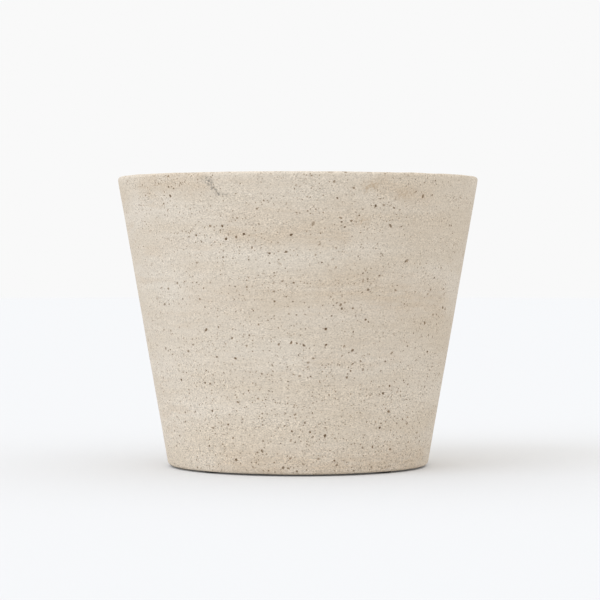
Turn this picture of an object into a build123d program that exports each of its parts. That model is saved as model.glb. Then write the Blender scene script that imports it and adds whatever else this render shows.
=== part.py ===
from build123d import *
import math
import os

# Bucket planter: a round, straight-sided tapered pot cast in fibre-reinforced concrete, with a rubber bung in
# its drain hole and stick-on rubber pads under its base.
# Millimetres. +Z is up, and the origin is the centre of the footprint, on the surface that the pads stand on.

# Pot body, overall. Both diameters are outside, at the sharp corner that the edge would have with no rounding.
HEIGHT = 400.0  # standing surface to rim, with the pads
RIM_DIAMETER = 500.0
BASE_DIAMETER = 360.0

# Pot body, casting
WALL = 16.0  # square to the side
FLOOR = 16.0  # at the drain hole, where it is thinnest
FLOOR_FALL = 3.0  # rise of the floor from the bung's seat out to the wall
INSIDE_CORNER = 25.0  # radius between the floor and the wall
RIM_OUTER_ROUND = 5.0
RIM_INNER_ROUND = 4.0
BASE_ROUND = 5.0

# Recess under the base, so that the casting stands on a ring
RING_WIDTH = 42.0  # from the side in to the recess, at the underside
RECESS_DEPTH = 4.0
RECESS_DRAFT = 4.0  # the recess is this much narrower, each side, at its ceiling
RECESS_ROUND = 2.0

# Drain hole
DRAIN_HOLE = 32.0  # bore
DRAIN_EDGE_ROUND = 1.0
SEAT_MARGIN = 3.0  # flat floor left round the bung's flange

# Drain bung
FLANGE_DIAMETER = 48.0
FLANGE_THICKNESS = 4.0
FLANGE_ROUND = 1.5
SHANK_LENGTH = 9.0
RIB_CLEARANCE = 0.1  # each side, between the sealing ribs and the bore
RIB_COUNT = 2
RIB_HEIGHT = 1.2
RIB_LEAD = 1.2  # height of a rib's slope below its crest, which eases it into the bore
RIB_BACK = 0.6  # height of the steeper slope above the crest, which holds it there
FIRST_RIB_DEPTH = 1.5  # from the seat down to the top rib's crest
RIB_PITCH = 3.0
SHANK_TIP_TAPER = 2.0  # the tip's radius is this much less than the shank's
BUNG_SKIN = 3.0  # rubber round the hollow under the bung
HOLLOW_ROUND = 1.5
TAB_WIDTH = 26.0
TAB_THICKNESS = 7.0
TAB_HEIGHT = 12.0
TAB_TOP_ROUND = 8.0
TAB_EDGE_ROUND = 1.6
TAB_ROOT_ROUND = 1.5

# Foot pads
PAD_COUNT = 4
PAD_DIAMETER = 28.0
PAD_THICKNESS = 2.0
PAD_EDGE_ROUND = 0.5
FIRST_PAD_ANGLE = 45.0  # from +X, so that no pad stands at the front


# Places that more than one piece is set out from
rim_radius = RIM_DIAMETER / 2
base_radius = BASE_DIAMETER / 2
underside_z = PAD_THICKNESS
recess_ceiling_z = underside_z + RECESS_DEPTH
seat_z = recess_ceiling_z + FLOOR
flange_top_z = seat_z + FLANGE_THICKNESS
bore_radius = DRAIN_HOLE / 2
seat_radius = FLANGE_DIAMETER / 2 + SEAT_MARGIN
recess_radius = base_radius - RING_WIDTH


def side_radius(z):
    """Outside radius of the straight side at height z."""
    share = (z - underside_z) / (HEIGHT - underside_z)
    return base_radius + (rim_radius - base_radius) * share


def revolved(outline):
    """Solid of revolution about Z, from a closed outline of (radius, z, corner radius) entries."""
    points = [(radius, z) for radius, z, _ in outline]
    corner_radii = [corner_radius for _, _, corner_radius in outline]
    section = make_face(Plane.XZ * FilletPolyline(*points, radius=corner_radii, close=True))
    return revolve(section, Axis.Z)


def planter_body():
    """The casting: side, rim, floor with a fall to the drain hole, and the recess under it."""
    rise = HEIGHT - underside_z
    slant = math.hypot(rise, rim_radius - base_radius)
    wall_across = WALL * slant / rise
    floor_edge_z = seat_z + FLOOR_FALL
    return revolved([
        (recess_radius, underside_z, RECESS_ROUND),
        (base_radius, underside_z, BASE_ROUND),
        (rim_radius, HEIGHT, RIM_OUTER_ROUND),
        (rim_radius - wall_across, HEIGHT, RIM_INNER_ROUND),
        (side_radius(floor_edge_z) - wall_across, floor_edge_z, INSIDE_CORNER),
        (seat_radius, seat_z, 0),
        (bore_radius, seat_z, DRAIN_EDGE_ROUND),
        (bore_radius, recess_ceiling_z, DRAIN_EDGE_ROUND),
        (recess_radius - RECESS_DRAFT, recess_ceiling_z, RECESS_ROUND),
    ])


def bung_outline():
    """Outline of the bung with no tab, as (radius, z, corner radius): down the outside, then up the hollow."""
    flange_radius = FLANGE_DIAMETER / 2
    rib_radius = bore_radius - RIB_CLEARANCE
    shank_radius = rib_radius - RIB_HEIGHT
    tip_radius = shank_radius - SHANK_TIP_TAPER
    hollow_radius = tip_radius - BUNG_SKIN
    tip_z = seat_z - SHANK_LENGTH
    outline = [
        (0, flange_top_z, 0),
        (flange_radius, flange_top_z, FLANGE_ROUND),
        (flange_radius, seat_z, 0),
        (shank_radius, seat_z, 0),
    ]
    for rib in range(RIB_COUNT):
        crest_z = seat_z - FIRST_RIB_DEPTH - RIB_PITCH * rib
        outline += [
            (shank_radius, crest_z + RIB_BACK, 0),
            (rib_radius, crest_z, 0),
            (shank_radius, crest_z - RIB_LEAD, 0),
        ]
    outline += [
        (tip_radius, tip_z, 0),
        (hollow_radius, tip_z, 0),
        (hollow_radius, seat_z, HOLLOW_ROUND),
        (0, seat_z, 0),
    ]
    return outline


def pull_tab():
    """Upright tab on top of the flange, with rounded shoulders and soft edges, and square where it meets it."""
    front = Pos(0, flange_top_z + TAB_HEIGHT / 2) * Rectangle(TAB_WIDTH, TAB_HEIGHT)
    front = fillet(front.vertices().group_by(Axis.Y)[-1], TAB_TOP_ROUND)
    tab = extrude(Plane.XZ * front, TAB_THICKNESS / 2, both=True)
    front_and_back = tab.faces().filter_by(Axis.Y).edges()
    return fillet(front_and_back - front_and_back.group_by(Axis.Z)[0], TAB_EDGE_ROUND)


def drain_bung():
    """Ribbed rubber bung, pushed into the drain hole from inside the pot, with a tab to pull it out by."""
    bung = revolved(bung_outline()) + pull_tab()
    flange_top = bung.faces().filter_by(lambda face: face.inner_wires() and face.normal_at().Z > 0)[0]
    tab_root = flange_top.inner_wires()[0].edges()
    return fillet(tab_root, TAB_ROOT_ROUND)


def foot_pad(number):
    """One of the equal pads stuck under the ring of the base, half way across the ring's flat."""
    pad_circle = (recess_radius + RECESS_ROUND + base_radius - BASE_ROUND) / 2
    pad = Pos(0, 0, PAD_THICKNESS / 2) * Cylinder(PAD_DIAMETER / 2, PAD_THICKNESS)
    pad = fillet(pad.edges().group_by(Axis.Z)[0], PAD_EDGE_ROUND)
    angle = FIRST_PAD_ANGLE + 360 / PAD_COUNT * number
    return Rot(0, 0, angle) * Pos(pad_circle, 0, 0) * pad


nodes = {
    "planter_body": planter_body(),
    "drain_bung": drain_bung(),
}
for number in range(PAD_COUNT):
    nodes[f"foot_pad_{number + 1}"] = foot_pad(number)

os.makedirs("parts", exist_ok=True)
for name, shape in nodes.items():
    export_step(shape, f"parts/{name}.step")
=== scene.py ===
import math
import random
from collections import defaultdict, namedtuple

import bpy
import numpy as np
from mathutils import Matrix, Vector, noise
from mathutils.geometry import delaunay_2d_cdt


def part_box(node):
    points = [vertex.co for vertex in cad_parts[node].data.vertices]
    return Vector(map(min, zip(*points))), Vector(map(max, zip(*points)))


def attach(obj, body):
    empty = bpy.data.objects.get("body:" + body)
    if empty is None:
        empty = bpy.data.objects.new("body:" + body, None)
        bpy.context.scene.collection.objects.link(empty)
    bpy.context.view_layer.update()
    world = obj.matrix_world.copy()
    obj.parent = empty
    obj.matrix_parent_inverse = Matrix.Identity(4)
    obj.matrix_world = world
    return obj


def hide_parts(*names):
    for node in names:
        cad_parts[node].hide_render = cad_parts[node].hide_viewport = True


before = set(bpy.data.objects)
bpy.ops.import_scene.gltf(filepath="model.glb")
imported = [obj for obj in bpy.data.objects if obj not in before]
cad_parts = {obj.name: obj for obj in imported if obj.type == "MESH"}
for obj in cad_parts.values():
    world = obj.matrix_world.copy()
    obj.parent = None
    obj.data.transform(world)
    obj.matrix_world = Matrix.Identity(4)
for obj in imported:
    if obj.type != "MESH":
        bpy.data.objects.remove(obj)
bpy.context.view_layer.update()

# Bucket planter: the looks of a washed, air-pitted concrete pot, with a rubber bung and foot pads.
# Metres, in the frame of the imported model: +Z up, origin at the centre of the footprint, front towards -Y.

pot_low, pot_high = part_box("planter_body")

Corner = namedtuple("Corner", "stretch radius z rounding step")
Wave = namedtuple("Wave", "height broad fine")
Pit = namedtuple("Pit", "angle along radius stretch tilt depth stain")
Mark = namedtuple("Mark", "start end half_width strength")

# Outline of the casting. The radii are at sharp corners, before the rounds.
RIM_RADIUS = 0.250
BASE_RADIUS = 0.180
RIM_Z = pot_high.z
UNDERSIDE_Z = pot_low.z
FLARE = (RIM_RADIUS - BASE_RADIUS) / (RIM_Z - UNDERSIDE_Z)  # growth of the outside radius with height
WALL = 0.016
RIM_OUTER_ROUND = 0.005
RIM_INNER_ROUND = 0.004
BASE_ROUND = 0.005
RECESS_RADIUS = 0.138
RECESS_DRAFT = 0.004
RECESS_DEPTH = 0.004
RECESS_ROUND = 0.002
SEAT_Z = 0.022
SEAT_RADIUS = 0.027
FLOOR_FALL = 0.003
INSIDE_CORNER = 0.025
BORE_RADIUS = 0.016
BORE_EDGE_ROUND = 0.001

# Mesh of the casting
SEED = 41
COLUMNS = 210
MEAN_RADIUS = 0.215  # of the wall, where the flat plan of the mesh has its true width
WALL_STEP = 0.0065  # between rows on the wall, as its columns are
FLAT_STEP = 0.010
FINE_STEP = 0.004
ARC_STEP = 0.0011  # between rows on a round
ARC_SHARE = 0.16  # of a large round's radius, where that is a longer step
LEAST_ARC_STEPS = 3
SHAKE = 0.18  # of a step, so that the triangles don't line up
SAME_PLACE = 1e-9  # points of the plan no farther apart than this are one
SHARP_ANGLE = math.radians(38)

# Relief, all of it below the CAD surface. Each wave has a height, and broad and fine swings to a metre.
SIDE_WAVE = Wave(0.00045, broad=9, fine=38)
RIM_WAVE = Wave(0.0007, broad=30, fine=90)
RIM_WAVE_REACH = 0.014
INSIDE_WAVE = Wave(0.0012, broad=16, fine=55)
BROAD_SHARE = 0.7
FINE_SHARE = 0.3
FADE = 0.010  # over which one kind of relief gives way to the next

# Air pits
SIDE_PITS = 5200  # to a square metre
INSIDE_PITS = 1200
PIT_TRIES = 12  # for each pit that is wanted
PIT_RADIUS = 0.00086  # the median of those drawn
PIT_SPREAD = 0.37  # of the logarithm of the radius
PIT_LEAST = 0.0005
PIT_MOST = 0.0021
PIT_STRETCH = 0.35  # spread of how much longer than wide it is
PIT_TILT = 0.7  # spread, in radians
PIT_DEPTHS = (0.7, 1.4)  # of its radius
PIT_SHADE_AND_GRIME = (0.35, 1)  # how dark it is inside: painted shade in the hollow, with brown grime
PIT_SIDES = 7
LARGE_PIT = 0.0013  # and above, it has more sides
LARGE_PIT_SIDES = 11
PIT_UNEVEN = 0.25  # of its radius, by which its rim goes in and out
PIT_SHOULDER = 0.72  # of its radius and of its depth, where its inner ring of points is
PIT_GAP = 0.0005  # between two rims, and from a rim to the next point of the mesh
PIT_CELL = 0.010  # of the grid that finds a pit's neighbours

# Where the air pits gather
CHANCE_AT_BASE = 0.68
CHANCE_FALL = 0.32  # from the base to the rim
PATCH_SWING = 0.9  # of the chance, from patch to patch
PATCH_SCALE = 14  # patches to a metre, about
PATCH_FLATNESS = 2.2  # a patch is this many times as wide as it is high

# Chips along the outer edge of the rim
RIM_CHIPS = 26
CHIP_DISTANCES = (0.001, RIM_OUTER_ROUND * 1.5)  # back from the flat top of the rim
CHIP_RADII = (0.0012, 0.0026)
CHIP_STRETCHES = (1.1, 1.7)
CHIP_TILT = 0.3  # spread, in radians
CHIP_DEPTHS = (0.25, 0.45)  # of its radius
# Painted shade, with some grime, in each chip
CHIP_SHADE_AND_GRIME = 0.35

# Camera: as far off and as high as the photograph's was, found from how its rim and base curve
CAMERA_DISTANCE = 3.385
CAMERA_HEIGHT = 0.289
CAMERA_ASIDE = 0.0029
CAMERA_PITCH = math.radians(1.010)  # downwards
CAMERA_REACH = 50  # the farthest that it sees
LENS = 146.3  # millimetres
SENSOR = 36.0  # millimetres wide
PHOTO_SIZE = 600  # pixels, each way

# Marks on the front. Each runs from one place in the photograph to another, in its pixels across and down.
DARK_BANDS_AND_FOOT_BOUNCE = [
    Mark((233, 215), (345, 213), 0.016, 0.45),
    Mark((236, 236), (342, 235), 0.017, 0.65),
    Mark((345, 226), (440, 222), 0.024, 0.30),
    Mark((196, 298), (330, 286), 0.027, 0.45),
    Mark((330, 288), (438, 304), 0.032, 0.65),
    Mark((142, 188), (200, 181), 0.015, 0.65),
    Mark((388, 186), (424, 196), 0.018, 0.65),
    # Along the foot: darker concrete, together with painted warm, dim bounce light from below
    Mark((225, 463), (420, 460), 0.022, 0.75),
]
PALE_BANDS = [
    Mark((143, 290), (181, 288), 0.022, 0.45),
    Mark((237, 263), (329, 260), 0.022, 0.40),
    Mark((242, 350), (293, 350), 0.020, 0.35),
    Mark((227, 194), (318, 192), 0.020, 0.30),
]
SCUFFS = [
    Mark((205, 179), (210, 182), 0.0052, 0.7),
    Mark((206, 179), (212, 187), 0.0034, 0.9),
    Mark((211, 186), (218, 194), 0.0032, 0.9),
    Mark((217, 194), (227, 195), 0.0022, 0.5),
]
BROWN_SPOTS = [
    Mark((368, 187), (375, 185), 0.0070, 0.65),
    Mark((401, 195), (411, 193), 0.0080, 0.45),
    Mark((358, 221), (366, 221), 0.0060, 0.45),
]
NICK = Mark((277, 261), (281, 265), 0.0009, 0.7)
MARK_FADE = 1.6  # half widths from its middle line, where a mark has faded out

# Large pits and rim notches on the front, as places in the photograph
SEEN_PITS = [
    (222, 226), (226, 239), (244, 234), (170, 196), (291, 235), (376, 206), (326, 329), (326, 345),
    (181, 380), (205, 383), (212, 411), (209, 446), (236, 460), (325, 436), (390, 386), (380, 428),
]
SEEN_PIT_RADIUS = 0.0019
SEEN_PIT_SIZES = (0.8, 1.1)  # times that radius
SEEN_PIT_STRETCHES = (1, 1.35)
SEEN_PIT_DEPTH = 1.3  # of its radius
# Painted shade, with brown grime, inside these pits at full strength
SEEN_PIT_SHADE_AND_GRIME = 1.0
NOTCHES = [(331, 174), (371, 175)]
NOTCH_DISTANCE = RIM_OUTER_ROUND * 0.7  # back from the flat top of the rim
NOTCH_RADIUS = 0.0028
NOTCH_STRETCH = 1.5
NOTCH_DEPTH = 0.5  # of its radius
# Painted shade, with some grime, in the notches
NOTCH_SHADE_AND_GRIME = 0.3

# Colours of the concrete
CLOUD_DARK = (0.670, 0.578, 0.462)
CLOUD_PALE = (0.716, 0.638, 0.536)
PALE_BAND = (0.732, 0.664, 0.564)
DARK_BAND = (0.620, 0.505, 0.378)
# Colour inside pits, pinholes, chips and notches: painted shade, with brown grime
HOLE_SHADE_AND_GRIME = (0.32, 0.232, 0.148)
BROWN_SPOT = (0.51, 0.375, 0.24)
SCUFF = (0.25, 0.225, 0.19)
NICKED = (0.36, 0.27, 0.18)

# Rubber
BUNG_COLOUR = (0.022, 0.022, 0.024)
BUNG_ROUGHNESS = 0.62
PAD_COLOUR = (0.035, 0.034, 0.033)
PAD_ROUGHNESS = 0.75
ROUGHNESS_SWING = 0.07
BLOOM_GAIN = 2.4  # times the colour, where the bloom is full
BLOOM_LIFT = 0.01  # added to that

# Light: a white sky, a soft overhead lamp, and a weaker one from the left. A strength of 1 is white.
WHITE = (1, 1, 1)
BACKDROP = 0.947  # the photograph's background, 249 of 255
SKY = 0.755
OVERHEAD = 0.35  # on a level surface
OVERHEAD_WIDTH = math.radians(110)
KEY = 0.225  # on a surface that faces it
KEY_WIDTH = math.radians(50)
KEY_AZIMUTH = math.radians(54)  # round from the camera to the left
KEY_ELEVATION = math.radians(35)
KEY_COLOUR = (0.86, 0.98, 1.17)
FLOOR_RADIUS = 14.0
FLOOR_SIDES = 96
FLOOR_DROP = 0.0002  # keeps the floor's surface apart from the pads' lower faces
FLOOR_COLOUR = (0.73, 0.73, 0.73)
FLOOR_TOP_UP = 0.046  # glow that the camera sees and that lights nothing


def side_radius(z):
    """Radius of the straight outer side at a height."""
    return BASE_RADIUS + FLARE * (z - UNDERSIDE_Z)


def seen_at(place):
    """Point of the pot's side that the photograph shows at this place, by its pixels across and down."""
    pixels_across, pixels_down = place
    focal = LENS / SENSOR * PHOTO_SIZE
    across = (pixels_across - PHOTO_SIZE / 2) / focal
    up = (PHOTO_SIZE / 2 - pixels_down) / focal
    sight = Vector((across, 1, up))
    sight.rotate(Matrix.Rotation(-CAMERA_PITCH, 3, "X"))
    eye = Vector((CAMERA_ASIDE, -CAMERA_DISTANCE, CAMERA_HEIGHT))
    radius_at_eye = side_radius(eye.z)
    square = sight.xy.length_squared - (FLARE * sight.z) ** 2
    half = eye.xy.dot(sight.xy) - radius_at_eye * FLARE * sight.z
    rest = eye.xy.length_squared - radius_at_eye ** 2
    return eye + sight * (-half - math.sqrt(half * half - square * rest)) / square


def casting_corners():
    """Corners of the closed outline, each named for the stretch after it: under, up, over and down."""
    wall_across = WALL * math.hypot(1, FLARE)  # its thickness measured level
    ceiling_z = UNDERSIDE_Z + RECESS_DEPTH
    floor_z = SEAT_Z + FLOOR_FALL
    return [
        Corner("ceiling", BORE_RADIUS, ceiling_z, BORE_EDGE_ROUND, FLAT_STEP),
        Corner("recess", RECESS_RADIUS - RECESS_DRAFT, ceiling_z, RECESS_ROUND, FINE_STEP),
        Corner("ring", RECESS_RADIUS, UNDERSIDE_Z, RECESS_ROUND, FLAT_STEP),
        Corner("side", BASE_RADIUS, UNDERSIDE_Z, BASE_ROUND, WALL_STEP),
        Corner("rim", RIM_RADIUS, RIM_Z, RIM_OUTER_ROUND, FINE_STEP),
        Corner("inside", RIM_RADIUS - wall_across, RIM_Z, RIM_INNER_ROUND, WALL_STEP),
        Corner("floor", side_radius(floor_z) - wall_across, floor_z, INSIDE_CORNER, FLAT_STEP),
        Corner("seat", SEAT_RADIUS, SEAT_Z, 0, FINE_STEP),
        Corner("bore", BORE_RADIUS, SEAT_Z, BORE_EDGE_ROUND, FINE_STEP),
    ]


def corner_arc(before, here, after, rounding):
    """Points of the arc that rounds a corner of an outline, or the corner itself where it is sharp."""
    if not rounding:
        return [here]
    arriving = (here - before).normalized()
    leaving = (after - here).normalized()
    turn = math.atan2(arriving.cross(leaving), arriving.dot(leaving))
    start = here - arriving * rounding * math.tan(abs(turn) / 2)
    centre = start + arriving.orthogonal() * math.copysign(rounding, turn)
    longest_step = max(ARC_STEP, ARC_SHARE * rounding)
    steps = max(LEAST_ARC_STEPS, math.ceil(rounding * abs(turn) / longest_step))
    turned = [Matrix.Rotation(turn * step / steps, 2) for step in range(steps + 1)]
    return [centre + rotation @ (start - centre) for rotation in turned]


def outline_rows(corners):
    """Places of the mesh's rows along the closed outline, and the number of each stretch's first row."""
    places = [Vector((corner.radius, corner.z)) for corner in corners]
    arcs = []
    for number, corner in enumerate(corners):
        after = places[(number + 1) % len(places)]
        arcs.append(corner_arc(places[number - 1], places[number], after, corner.rounding))
    rows = []
    first_rows = {}
    for number, corner in enumerate(corners):
        rows += arcs[number]
        first_rows[corner.stretch] = len(rows) - 1
        start = arcs[number][-1]
        end = arcs[(number + 1) % len(arcs)][0]
        steps = max(1, round((end - start).length / corner.step))
        rows += [start.lerp(end, step / steps) for step in range(1, steps)]
    rows.append(rows[0])
    return rows, first_rows


class Outline:
    """Rows of the mesh along a closed outline: their radius, z, distance along it and outward normal."""

    def __init__(self, corners):
        rows, first_rows = outline_rows(corners)
        self.count = len(rows)
        self.radius, self.z = np.array(rows).T
        steps = np.hypot(np.diff(self.radius), np.diff(self.z))
        self.along = np.concatenate([[0], np.cumsum(steps)])
        self.length = self.along[-1]
        across = np.column_stack([np.diff(self.z), -np.diff(self.radius)]) / steps[:, None]
        normal = across + np.roll(across, 1, axis=0)
        normal = np.vstack([normal, normal[:1]])
        self.normal = normal / np.linalg.norm(normal, axis=1)[:, None]
        self.starts = {name: self.along[row] for name, row in first_rows.items()}

    def radius_at(self, along):
        """Radius of the outline at a distance along it."""
        return np.interp(along, self.along, self.radius)

    def z_at(self, along):
        """Height of the outline at a distance along it."""
        return np.interp(along, self.along, self.z)

    def side_along(self, z):
        """Distance along the outline to a height on the outer side."""
        rows = (self.along >= self.starts["side"]) & (self.along <= self.starts["rim"])
        return np.interp(z, self.z[rows], self.along[rows])

    def points(self, angles, along, depths):
        """Points of the revolved surface, at these depths below it."""
        radius = self.radius_at(along) - depths * np.interp(along, self.along, self.normal[:, 0])
        z = self.z_at(along) - depths * np.interp(along, self.along, self.normal[:, 1])
        return np.column_stack([radius * np.cos(angles), radius * np.sin(angles), z])


class PitField:
    """The pits of a surface, with a grid that finds what lies near a place."""

    def __init__(self, outline):
        self.outline = outline
        self.cells = defaultdict(list)
        self.pits = []

    def cell(self, angle, along):
        """Cell of the grid that a place is in."""
        return math.floor(angle * MEAN_RADIUS / PIT_CELL), math.floor(along / PIT_CELL)

    def clear(self, angle, along, reach):
        """True if no pit lies within reach of a place."""
        column, row = self.cell(angle, along)
        radius = self.outline.radius_at(along)
        for near_column in (column - 1, column, column + 1):
            for near_row in (row - 1, row, row + 1):
                for pit in self.cells[near_column, near_row]:
                    apart = math.hypot((pit.angle - angle) * radius, pit.along - along)
                    if apart < pit.radius * pit.stretch + reach:
                        return False
        return True

    def add(self, pit):
        """Adds a pit, unless it would touch another or the seam of the mesh, and says whether it did."""
        reach = pit.radius * pit.stretch
        seam = min(pit.angle, math.tau - pit.angle) * self.outline.radius_at(pit.along)
        across_seam = seam < reach * (1 + PIT_UNEVEN) + PIT_GAP
        if across_seam or not self.clear(pit.angle, pit.along, reach + PIT_GAP):
            return False
        self.cells[self.cell(pit.angle, pit.along)].append(pit)
        self.pits.append(pit)
        return True


def clustering(angle, along, outline):
    """How likely a pit is at a place: they gather low down, and in patches that are wider than high."""
    radius = outline.radius_at(along)
    z = outline.z_at(along)
    place = Vector((math.cos(angle) * radius, math.sin(angle) * radius, z * PATCH_FLATNESS))
    return CHANCE_AT_BASE - CHANCE_FALL * z / RIM_Z + PATCH_SWING * noise.noise(place * PATCH_SCALE)


def scatter_pits(field, first, last, density, draw):
    """Scatters air pits over the stretch of the outline from first to last, so many to a square metre."""
    outline = field.outline
    widest = max(outline.radius_at(first), outline.radius_at(last))
    mean_radius = (outline.radius_at(first) + outline.radius_at(last)) / 2
    wanted = int(density * math.tau * mean_radius * (last - first))
    made = 0
    for _ in range(wanted * PIT_TRIES):
        angle = draw.uniform(0, math.tau)
        along = draw.uniform(first, last)
        radius = min(PIT_MOST, PIT_RADIUS * math.exp(draw.gauss(0, PIT_SPREAD)))
        stretch = 1 + abs(draw.gauss(0, PIT_STRETCH))
        tilt = draw.gauss(0, PIT_TILT)
        depth = radius * draw.uniform(*PIT_DEPTHS)
        stain = draw.uniform(*PIT_SHADE_AND_GRIME)
        chance = draw.random()
        likely = clustering(angle, along, outline) * outline.radius_at(along)
        if radius < PIT_LEAST or chance * widest > likely:
            continue
        made += field.add(Pit(angle, along, radius, stretch, tilt, depth, stain))
        if made == wanted:
            break


def place_seen_pits(field, draw):
    """The large pits that stand out in the photograph."""
    for place in SEEN_PITS:
        point = seen_at(place)
        angle = math.atan2(point.y, point.x) % math.tau
        along = field.outline.side_along(point.z)
        radius = SEEN_PIT_RADIUS * draw.uniform(*SEEN_PIT_SIZES)
        stretch = draw.uniform(*SEEN_PIT_STRETCHES)
        tilt = draw.gauss(0, PIT_TILT)
        field.add(Pit(angle, along, radius, stretch, tilt, radius * SEEN_PIT_DEPTH, SEEN_PIT_SHADE_AND_GRIME))


def place_notches(field):
    """The level notches in the outer edge of the rim that stand out in the photograph."""
    for place in NOTCHES:
        point = seen_at(place)
        angle = math.atan2(point.y, point.x) % math.tau
        along = field.outline.starts["rim"] - NOTCH_DISTANCE
        depth = NOTCH_RADIUS * NOTCH_DEPTH
        field.add(Pit(angle, along, NOTCH_RADIUS, NOTCH_STRETCH, 0, depth, NOTCH_SHADE_AND_GRIME))


def scatter_chips(field, draw):
    """Small shallow chips along the outer edge of the rim."""
    for _ in range(RIM_CHIPS):
        angle = draw.uniform(0, math.tau)
        along = field.outline.starts["rim"] - draw.uniform(*CHIP_DISTANCES)
        radius = draw.uniform(*CHIP_RADII)
        stretch = draw.uniform(*CHIP_STRETCHES)
        depth = radius * draw.uniform(*CHIP_DEPTHS)
        tilt = draw.gauss(0, CHIP_TILT)
        field.add(Pit(angle, along, radius, stretch, tilt, depth, CHIP_SHADE_AND_GRIME))


def casting_pits(outline, draw):
    """All the pits, notches and chips of the casting."""
    field = PitField(outline)
    place_seen_pits(field, draw)
    place_notches(field)
    scatter_chips(field, draw)
    starts = outline.starts
    scatter_pits(field, starts["side"], starts["inside"], SIDE_PITS, draw)
    scatter_pits(field, starts["inside"], starts["floor"] - INSIDE_CORNER, INSIDE_PITS, draw)
    return field


class Plan:
    """A surface of revolution laid out flat: its points, and the depth and the painted shade with grime that
    pits give them.
    """

    def __init__(self):
        self.angles = []
        self.along = []
        self.depths = []
        self.shade_and_grime_levels = []
        self.lattice = {}

    def add(self, angle, along, depth=0.0, stain=0.0):
        """Adds a point and returns its number."""
        self.angles.append(angle)
        self.along.append(along)
        self.depths.append(depth)
        self.shade_and_grime_levels.append(stain)
        return len(self.angles) - 1

    def add_lattice(self, outline, field, draw):
        """Rows and columns of points all over, left out where there are pits."""
        turn = math.tau / COLUMNS
        gaps = np.diff(outline.along)
        for row, row_along in enumerate(outline.along):
            edge_row = row in (0, outline.count - 1)
            room = 0 if edge_row else min(gaps[row - 1], gaps[row])
            for column in range(COLUMNS + 1):
                angle = turn * column
                along = row_along
                across_shake = draw.uniform(-SHAKE, SHAKE)
                along_shake = draw.uniform(-SHAKE, SHAKE)
                fixed = edge_row or column in (0, COLUMNS)
                if room > FINE_STEP and not fixed:
                    angle += across_shake * turn
                    along += along_shake * room
                if fixed or field.clear(angle, along, PIT_GAP):
                    self.lattice[row, column] = self.add(angle, along)

    def add_pit(self, pit, outline, draw):
        """A pit as two uneven rings, at its rim and down in it, and a point at its bottom."""
        sides = PIT_SIDES if pit.radius < LARGE_PIT else LARGE_PIT_SIDES
        radius = outline.radius_at(pit.along)
        cos, sin = math.cos(pit.tilt), math.sin(pit.tilt)
        uneven = [draw.uniform(1 - PIT_UNEVEN, 1 + PIT_UNEVEN) for _ in range(sides)]
        # The inner ring and the bottom point carry the pit's painted shade and grime.
        for share, depth, stain in ((1, 0, 0), (PIT_SHOULDER, pit.depth * PIT_SHOULDER, pit.stain)):
            for side, factor in enumerate(uneven):
                bearing = math.tau * side / sides
                long = pit.radius * pit.stretch * share * factor * math.cos(bearing)
                short = pit.radius * share * factor * math.sin(bearing)
                across = long * cos - short * sin
                up = long * sin + short * cos
                self.add(pit.angle + across / radius, pit.along + up, depth, stain)
        self.add(pit.angle, pit.along, pit.depth, pit.stain)

    def triangles(self):
        """Triangles that cover the plan, each as the numbers of its three points."""
        flat = [Vector((angle * MEAN_RADIUS, along)) for angle, along in zip(self.angles, self.along)]
        no_edges = []
        no_faces = []
        whole_hull = 0
        made = delaunay_2d_cdt(flat, no_edges, no_faces, whole_hull, SAME_PLACE)
        _, _, triangles, origins, _, _ = made
        numbers = np.array([found[0] for found in origins])
        return numbers[np.array(triangles)]

    def welds(self, outline):
        """For each point, the number of the one that it joins: itself, or its twin over a seam."""
        joined = np.arange(len(self.angles))
        for (row, column), number in self.lattice.items():
            twin = (row % (outline.count - 1), column % COLUMNS)
            joined[number] = self.lattice[twin]
        return joined


def wave(place, kind):
    """Smooth unevenness at a place, from 0 to the wave's height: most of it broad, and the rest fine."""
    broad = BROAD_SHARE * noise.noise(place * kind.broad)
    fine = FINE_SHARE * noise.noise(place * kind.fine)
    return kind.height * min(1, max(0, 0.5 + broad + fine))


def rising(value, start, reach):
    """Runs smoothly from 0 at start to 1 at start + reach, and stays there."""
    share = min(1, max(0, (value - start) / reach))
    return share * share * (3 - 2 * share)


def relief(x, y, z, along, outline):
    """Depth of the cast surface below the CAD surface, with no pits: none under the pads and the bung."""
    place = Vector((x, y, z))
    inner_share = rising(along, outline.starts["inside"], FADE)
    outer_share = rising(along, outline.starts["ring"], BASE_RADIUS - RECESS_RADIUS) * (1 - inner_share)
    inner_share *= 1 - rising(along, outline.starts["seat"] - 2 * FADE, FADE)
    rim_share = rising(z, RIM_Z - RIM_WAVE_REACH, RIM_WAVE_REACH) * outer_share
    side = wave(place, SIDE_WAVE) * outer_share
    rim = wave(place, RIM_WAVE) * rim_share
    inside = wave(place, INSIDE_WAVE) * inner_share
    return side + rim + inside


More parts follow.
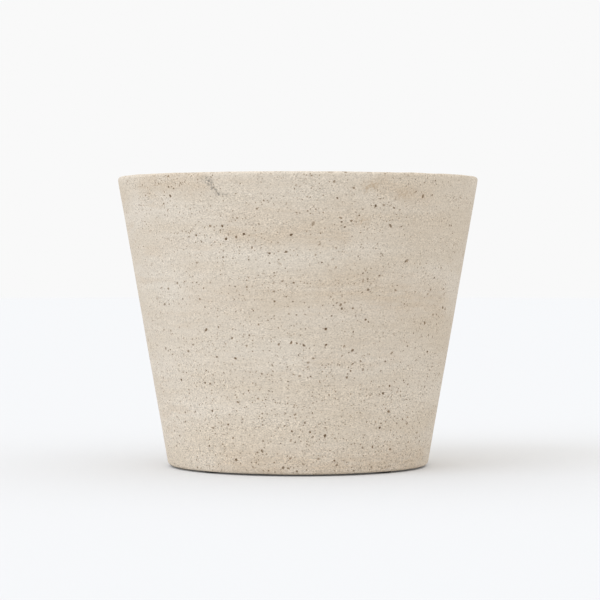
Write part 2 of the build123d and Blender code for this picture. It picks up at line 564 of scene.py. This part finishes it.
def casting_mesh(name):
    """The pot as one closed mesh, air pits and all: laid out flat, triangulated and then rolled up."""
    draw = random.Random(SEED)
    outline = Outline(casting_corners())
    field = casting_pits(outline, draw)
    plan = Plan()
    plan.add_lattice(outline, field, draw)
    for pit in field.pits:
        plan.add_pit(pit, outline, draw)
    triangles = plan.triangles()

    angles = np.array(plan.angles)
    along = np.array(plan.along)
    smooth = outline.points(angles, along, np.zeros(len(angles)))
    cast = [relief(*place, distance, outline) for place, distance in zip(smooth, along)]
    places = outline.points(angles, along, np.array(plan.depths) + cast)

    joined = plan.welds(outline)
    kept = np.unique(joined)
    renumbered = np.zeros(len(joined), int)
    renumbered[kept] = np.arange(len(kept))
    mesh = bpy.data.meshes.new(name)
    mesh.from_pydata(places[kept].tolist(), [], renumbered[joined[triangles]].tolist())
    corners = triangles.ravel()
    sheet = np.column_stack([angles[corners] / math.tau, along[corners] / outline.length])
    unwrapped = mesh.uv_layers.new(name="OFBake")
    unwrapped.data.foreach_set("uv", sheet.astype(np.float32).ravel())
    # Painted shade, with grime, inside the pits, for the material to darken by
    pitted = mesh.attributes.new("pitted", "FLOAT", "POINT")
    pitted.data.foreach_set("value", np.array(plan.shade_and_grime_levels, np.float32)[kept])
    mesh.shade_smooth()
    mesh.set_sharp_from_angle(angle=SHARP_ANGLE)
    return mesh


def feed(tree, socket, value):
    """Sets an input to a value, or links it where the value is another node's output."""
    if isinstance(value, bpy.types.NodeSocket):
        tree.links.new(value, socket)
    elif socket.type == "RGBA":
        socket.default_value = (*value, 1)
    else:
        socket.default_value = value


def add_node(tree, kind, inputs=None, **settings):
    """A new node with its settings, and its inputs by name or number."""
    made = tree.nodes.new(kind)
    for name, value in settings.items():
        setattr(made, name, value)
    for name, value in (inputs or {}).items():
        feed(tree, made.inputs[name], value)
    return made


def on_sheet(place):
    """Point of the unrolled wall that the photograph shows here: metres round from the front, and z."""
    point = seen_at(place)
    return Vector((math.atan2(point.x, -point.y) * MEAN_RADIUS, point.z, 0))


class Shader:
    """A material's nodes, with a short call for each kind that the materials here are made of."""

    def __init__(self, name):
        self.material = bpy.data.materials.new(name)
        self.material.use_nodes = True
        self.tree = self.material.node_tree
        self.place = self.node("ShaderNodeTexCoord").outputs["Object"]
        self.x, self.y, self.z = self.node("ShaderNodeSeparateXYZ", {0: self.place}).outputs

    def node(self, kind, inputs=None, **settings):
        """A new node of this material."""
        return add_node(self.tree, kind, inputs, **settings)

    def math(self, operation, *values):
        """Arithmetic on one, two or three values."""
        return self.node("ShaderNodeMath", dict(enumerate(values)), operation=operation).outputs[0]

    def vector(self, operation, inputs, output=0):
        """Arithmetic on vectors."""
        return self.node("ShaderNodeVectorMath", inputs, operation=operation).outputs[output]

    def remap(self, value, low, high, to_low=0.0, to_high=1.0):
        """Runs smoothly from to_low to to_high as the value goes from low to high, and stays there."""
        inputs = {"Value": value, "From Min": low, "From Max": high, "To Min": to_low, "To Max": to_high}
        return self.node("ShaderNodeMapRange", inputs, interpolation_type="SMOOTHSTEP").outputs[0]

    def blend(self, share, under, over, mode="MIX"):
        """One colour over another."""
        made = self.node("ShaderNodeMix", data_type="RGBA", blend_type=mode)
        for number, value in ((0, share), (6, under), (7, over)):
            feed(self.tree, made.inputs[number], value)
        return made.outputs[2]

    def stretched(self, across, up):
        """The place scaled across and up, so that a pattern is squeezed or drawn out."""
        return self.vector("MULTIPLY", {0: self.place, 1: (across, across, up)})

    def noise(self, place, scale, detail=2.0, roughness=0.5):
        """Smooth noise about 0.5."""
        inputs = {"Vector": place, "Scale": scale, "Detail": detail, "Roughness": roughness}
        return self.node("ShaderNodeTexNoise", inputs).outputs["Fac"]

    def swing(self, place, scale, detail, roughness):
        """Smooth noise about 0."""
        return self.math("SUBTRACT", self.noise(place, scale, detail, roughness), 0.5)

    def jittered(self, place, scale, reach):
        """A place shifted a little by a noise, so that what is drawn there has an uneven edge."""
        shift = self.node("ShaderNodeTexNoise", {"Vector": self.place, "Scale": scale}).outputs["Color"]
        shift = self.vector("SUBTRACT", {0: shift, 1: (0.5, 0.5, 0.5)})
        return self.vector("MULTIPLY_ADD", {0: shift, 1: (reach, reach, reach), 2: place})

    def cells(self, place, scale):
        """Distance to the nearest of scattered points, in spacings, and that point's random number."""
        made = self.node("ShaderNodeTexVoronoi", {"Vector": place, "Scale": scale})
        chance = self.node("ShaderNodeSeparateColor", {0: made.outputs["Color"]}).outputs[0]
        return made.outputs["Distance"], chance

    def unrolled(self):
        """The place with the wall cut at the back and laid flat: metres round from the front, and z."""
        round_from_front = self.math("ARCTAN2", self.x, self.math("MULTIPLY", self.y, -1))
        across = self.math("MULTIPLY", round_from_front, MEAN_RADIUS)
        return self.node("ShaderNodeCombineXYZ", {"X": across, "Y": self.z}).outputs[0]

    def outside(self):
        """1 on the outer side of the wall and 0 on the inside, the floor and the bore."""
        flat = self.node("ShaderNodeCombineXYZ", {"X": self.x, "Y": self.y}).outputs[0]
        radius = self.vector("LENGTH", {0: flat}, "Value")
        middle_at_base = BASE_RADIUS - WALL / 2
        middle = self.math("MULTIPLY_ADD", self.z, FLARE, middle_at_base)
        return self.math("GREATER_THAN", radius, middle)

    def smear(self, sheet, mark):
        """How much of a mark is on the unrolled sheet, from its full strength to none."""
        start = on_sheet(mark.start)
        run = on_sheet(mark.end) - start
        offset = self.vector("SUBTRACT", {0: sheet, 1: start})
        share = self.vector("DOT_PRODUCT", {0: offset, 1: run / run.length_squared}, "Value")
        share = self.node("ShaderNodeClamp", {0: share}).outputs[0]
        nearest = self.vector("SCALE", {0: run, "Scale": share})
        apart = self.vector("DISTANCE", {0: offset, 1: nearest}, "Value")
        return self.remap(apart, low=0, high=mark.half_width * MARK_FADE, to_low=mark.strength, to_high=0)

    def marked(self, sheet, marks):
        """The strongest of several marks at each place on the outside of the pot."""
        strongest = 0.0
        for mark in marks:
            strongest = self.math("MAXIMUM", self.smear(sheet, mark), strongest)
        return self.math("MULTIPLY", strongest, self.outside())

    def bump(self, height, distance, strength):
        """Normal of the surface with this height added, in metres at height 1."""
        inputs = {"Height": height, "Distance": distance, "Strength": strength}
        return self.node("ShaderNodeBump", inputs).outputs[0]

    def finish(self, inputs):
        """Feeds the surface and returns the material."""
        surface = self.tree.nodes["Principled BSDF"]
        for name, value in inputs.items():
            feed(self.tree, surface.inputs[name], value)
        return self.material


def clouds_and_bands(shader, banded):
    """The broad colours: soft clouds, and the pale and dark bands that the photograph shows."""
    clouds = shader.remap(shader.noise(banded, scale=4.5, detail=4, roughness=0.55), low=0.34, high=0.66)
    warm = shader.noise(banded, scale=9, detail=3, roughness=0.55)
    warm = shader.remap(warm, low=0.53, high=0.72, to_high=0.4)
    blotchy = shader.noise(banded, scale=30, detail=3, roughness=0.6)
    blotchy = shader.remap(blotchy, low=0.3, high=0.65, to_low=0.45)
    sheet = shader.jittered(shader.unrolled(), scale=45, reach=0.022)
    pale = shader.math("MULTIPLY", shader.marked(sheet, PALE_BANDS), blotchy)
    # The dark band along the foot is partly darker concrete and partly painted warm, dim bounce light.
    dark = shader.math("MULTIPLY", shader.marked(sheet, DARK_BANDS_AND_FOOT_BOUNCE), blotchy)
    colour = shader.blend(clouds, CLOUD_DARK, CLOUD_PALE)
    colour = shader.blend(pale, colour, PALE_BAND)
    return shader.blend(shader.math("MAXIMUM", warm, dark), colour, DARK_BAND)


def coarseness(shader, banded):
    """How strong the grain and the pinholes are: more so near the base and the rim, and in patches."""
    patches = shader.remap(shader.noise(banded, scale=12), low=0.35, high=0.65, to_low=0.6)
    lower = shader.remap(shader.z, low=0.20, high=0.08, to_low=0.85, to_high=1.30)
    upper = shader.remap(shader.z, low=0.23, high=0.31, to_low=0.85, to_high=1.02)
    return shader.math("MULTIPLY", patches, shader.math("MAXIMUM", lower, upper))


def streaks_and_grain(shader, coarse):
    """What the broad colours are multiplied by: level streaks, sandy grain, and painted light that makes the
    foot slightly paler.
    """
    streaks = shader.swing(shader.stretched(across=1, up=16), scale=22, detail=3, roughness=0.6)
    grain = shader.swing(shader.stretched(across=0.85, up=1.25), scale=500, detail=3, roughness=0.8)
    grain_strength = 1.75
    streak_strength = 0.18
    tone = shader.math("MULTIPLY_ADD", shader.math("MULTIPLY", grain, coarse), grain_strength, 1.0)
    tone = shader.math("MULTIPLY_ADD", streaks, streak_strength, tone)
    # Painted light from below: the colour grows slightly paler towards the foot.
    return shader.math("ADD", tone, shader.remap(shader.z, low=0.20, high=0.03, to_high=0.042))


def pinholes(shader, coarse):
    """Holes too small for the mesh: their depth, and their painted shade with brown grime, stronger in some
    than in others.
    """
    uneven = shader.jittered(shader.place, scale=260, reach=0.0022)
    distance, chance = shader.cells(uneven, scale=240)
    depth = shader.remap(distance, low=0.14, high=0.27, to_low=1, to_high=0)
    depth = shader.math("MULTIPLY", depth, coarse)
    # Painted shade, with brown grime, in the pinholes, stronger in some
    stain = shader.math("MULTIPLY", depth, shader.remap(chance, low=0.15, high=0.85, to_low=0.2))
    return depth, stain


def with_small_marks(shader, colour):
    """The colour with the brown spots, scuffs and nick that the photograph shows."""
    sheet = shader.jittered(shader.unrolled(), scale=300, reach=0.005)
    broken = shader.noise(shader.place, scale=330, roughness=0.6)
    broken = shader.remap(broken, low=0.42, high=0.58, to_low=1.0, to_high=0.1)
    for marks, mark_colour in ((BROWN_SPOTS, BROWN_SPOT), (SCUFFS, SCUFF)):
        share = shader.math("MULTIPLY", shader.marked(sheet, marks), broken)
        colour = shader.blend(share, colour, mark_colour)
    return shader.blend(shader.marked(sheet, [NICK]), colour, NICKED)


def concrete():
    """Washed grey-beige concrete: cloudy bands, fine streaks, sandy grain, and pinholes and air pits
    darkened with painted shade and brown grime.
    """
    shader = Shader("washed_concrete")
    banded = shader.stretched(across=1, up=5)
    coarse = coarseness(shader, banded)
    pinhole_depth, pinhole_shade_and_grime = pinholes(shader, coarse)
    # Painted shade, with grime, that the mesh gives inside its pits
    pit_shade_and_grime = shader.node("ShaderNodeAttribute", attribute_name="pitted").outputs["Fac"]

    colour = clouds_and_bands(shader, banded)
    colour = shader.blend(1.0, colour, streaks_and_grain(shader, coarse), "MULTIPLY")
    # Pits and pinholes darkened with painted shade and brown grime
    colour = shader.blend(shader.math("MAXIMUM", pinhole_shade_and_grime, pit_shade_and_grime), colour, HOLE_SHADE_AND_GRIME)
    colour = with_small_marks(shader, colour)

    sand = shader.noise(shader.place, scale=500, detail=3, roughness=0.75)
    height = shader.math("SUBTRACT", sand, pinhole_depth)
    return shader.finish({
        "Base Color": colour,
        "Roughness": 0.9,
        "Specular IOR Level": 0.25,
        "Normal": shader.bump(height, distance=0.0004, strength=0.6),
    })


def rubber(name, colour, roughness):
    """Matt moulded rubber with a slight bloom and a fine grain."""
    shader = Shader(name)
    bloom = shader.noise(shader.place, scale=90, detail=4, roughness=0.6)
    bloom = shader.remap(bloom, low=0.35, high=0.7, to_high=0.35)
    pale = [channel * BLOOM_GAIN + BLOOM_LIFT for channel in colour]
    least = roughness - ROUGHNESS_SWING
    most = roughness + ROUGHNESS_SWING
    patches = shader.noise(shader.place, scale=400)
    grain = shader.noise(shader.place, scale=1500, roughness=0.6)
    return shader.finish({
        "Base Color": shader.blend(bloom, colour, pale),
        "Roughness": shader.remap(patches, low=0.3, high=0.7, to_low=least, to_high=most),
        "Normal": shader.bump(grain, distance=0.00008, strength=0.6),
    })


def dress(node, material):
    """Gives a CAD node its material."""
    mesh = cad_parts[node].data
    mesh.materials.clear()
    mesh.materials.append(material)


def make_casting():
    """The pot, in place of the plain CAD solid."""
    pot = bpy.data.objects.new("pitted_casting", casting_mesh("pitted_casting"))
    bpy.context.scene.collection.objects.link(pot)
    pot.data.materials.append(concrete())
    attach(pot, "pot")
    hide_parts("planter_body")


def make_camera():
    """The photograph's view."""
    data = bpy.data.cameras.new("camera")
    data.sensor_width = SENSOR
    data.lens = LENS
    data.clip_end = CAMERA_REACH
    camera = bpy.data.objects.new("camera", data)
    camera.location = (CAMERA_ASIDE, -CAMERA_DISTANCE, CAMERA_HEIGHT)
    camera.rotation_euler = (math.pi / 2 - CAMERA_PITCH, 0, 0)
    bpy.context.scene.collection.objects.link(camera)
    bpy.context.scene.camera = camera


def seen_ray(tree):
    """1 for a ray from the camera or a mirror-like reflection, and 0 for one that lights the object."""
    path = add_node(tree, "ShaderNodeLightPath")
    seen = path.outputs["Is Camera Ray"]
    for name in ("Is Glossy Ray", "Is Transmission Ray"):
        inputs = {0: seen, 1: path.outputs[name]}
        seen = add_node(tree, "ShaderNodeMath", inputs, operation="MAXIMUM").outputs[0]
    return seen


def make_world():
    """An even white sky, which the camera sees as the pale backdrop."""
    world = bpy.data.worlds.new("studio")
    world.use_nodes = True
    tree = world.node_tree
    tree.nodes.clear()
    light = add_node(tree, "ShaderNodeBackground", {"Color": WHITE, "Strength": SKY}).outputs[0]
    backdrop = add_node(tree, "ShaderNodeBackground", {"Color": WHITE, "Strength": BACKDROP}).outputs[0]
    mix = add_node(tree, "ShaderNodeMixShader", {0: seen_ray(tree), 1: light, 2: backdrop}).outputs[0]
    add_node(tree, "ShaderNodeOutputWorld", {0: mix})
    bpy.context.scene.world = world


def floor_material():
    """White floor, topped up for the camera so that it meets the backdrop without an edge."""
    material = bpy.data.materials.new("floor")
    material.use_nodes = True
    tree = material.node_tree
    surface = tree.nodes["Principled BSDF"]
    top_up = {0: seen_ray(tree), 1: FLOOR_TOP_UP}
    inputs = {
        "Base Color": FLOOR_COLOUR,
        "Roughness": 1,
        "Specular IOR Level": 0,
        "Emission Color": WHITE,
        "Emission Strength": add_node(tree, "ShaderNodeMath", top_up, operation="MULTIPLY").outputs[0],
    }
    for name, value in inputs.items():
        feed(tree, surface.inputs[name], value)
    return material


def make_floor():
    """A round pale floor under the pot."""
    rim = []
    for side in range(FLOOR_SIDES):
        bearing = math.tau * side / FLOOR_SIDES
        rim.append((FLOOR_RADIUS * math.cos(bearing), FLOOR_RADIUS * math.sin(bearing), -FLOOR_DROP))
    mesh = bpy.data.meshes.new("floor")
    mesh.from_pydata(rim, [], [list(range(FLOOR_SIDES))])
    floor = bpy.data.objects.new("floor", mesh)
    mesh.materials.append(floor_material())
    bpy.context.scene.collection.objects.link(floor)


def make_lamp(name, azimuth, elevation, level, width, colour):
    """A far soft lamp, so many radians wide, at an azimuth round to the left of the camera."""
    data = bpy.data.lights.new(name, "SUN")
    data.energy = level * math.pi
    data.color = colour
    data.angle = width
    lamp = bpy.data.objects.new(name, data)
    lamp.rotation_euler = (math.pi / 2 - elevation, 0, -azimuth)
    bpy.context.scene.collection.objects.link(lamp)


make_camera()
make_casting()
dress("drain_bung", rubber("bung_rubber", BUNG_COLOUR, BUNG_ROUGHNESS))
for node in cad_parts:
    if node.startswith("foot_pad"):
        dress(node, rubber("pad_rubber", PAD_COLOUR, PAD_ROUGHNESS))
make_floor()
make_world()
make_lamp("overhead", 0, math.pi / 2, OVERHEAD, OVERHEAD_WIDTH, WHITE)
make_lamp("key", KEY_AZIMUTH, KEY_ELEVATION, KEY, KEY_WIDTH, KEY_COLOUR)
bpy.context.scene.view_settings.view_transform = "Standard"
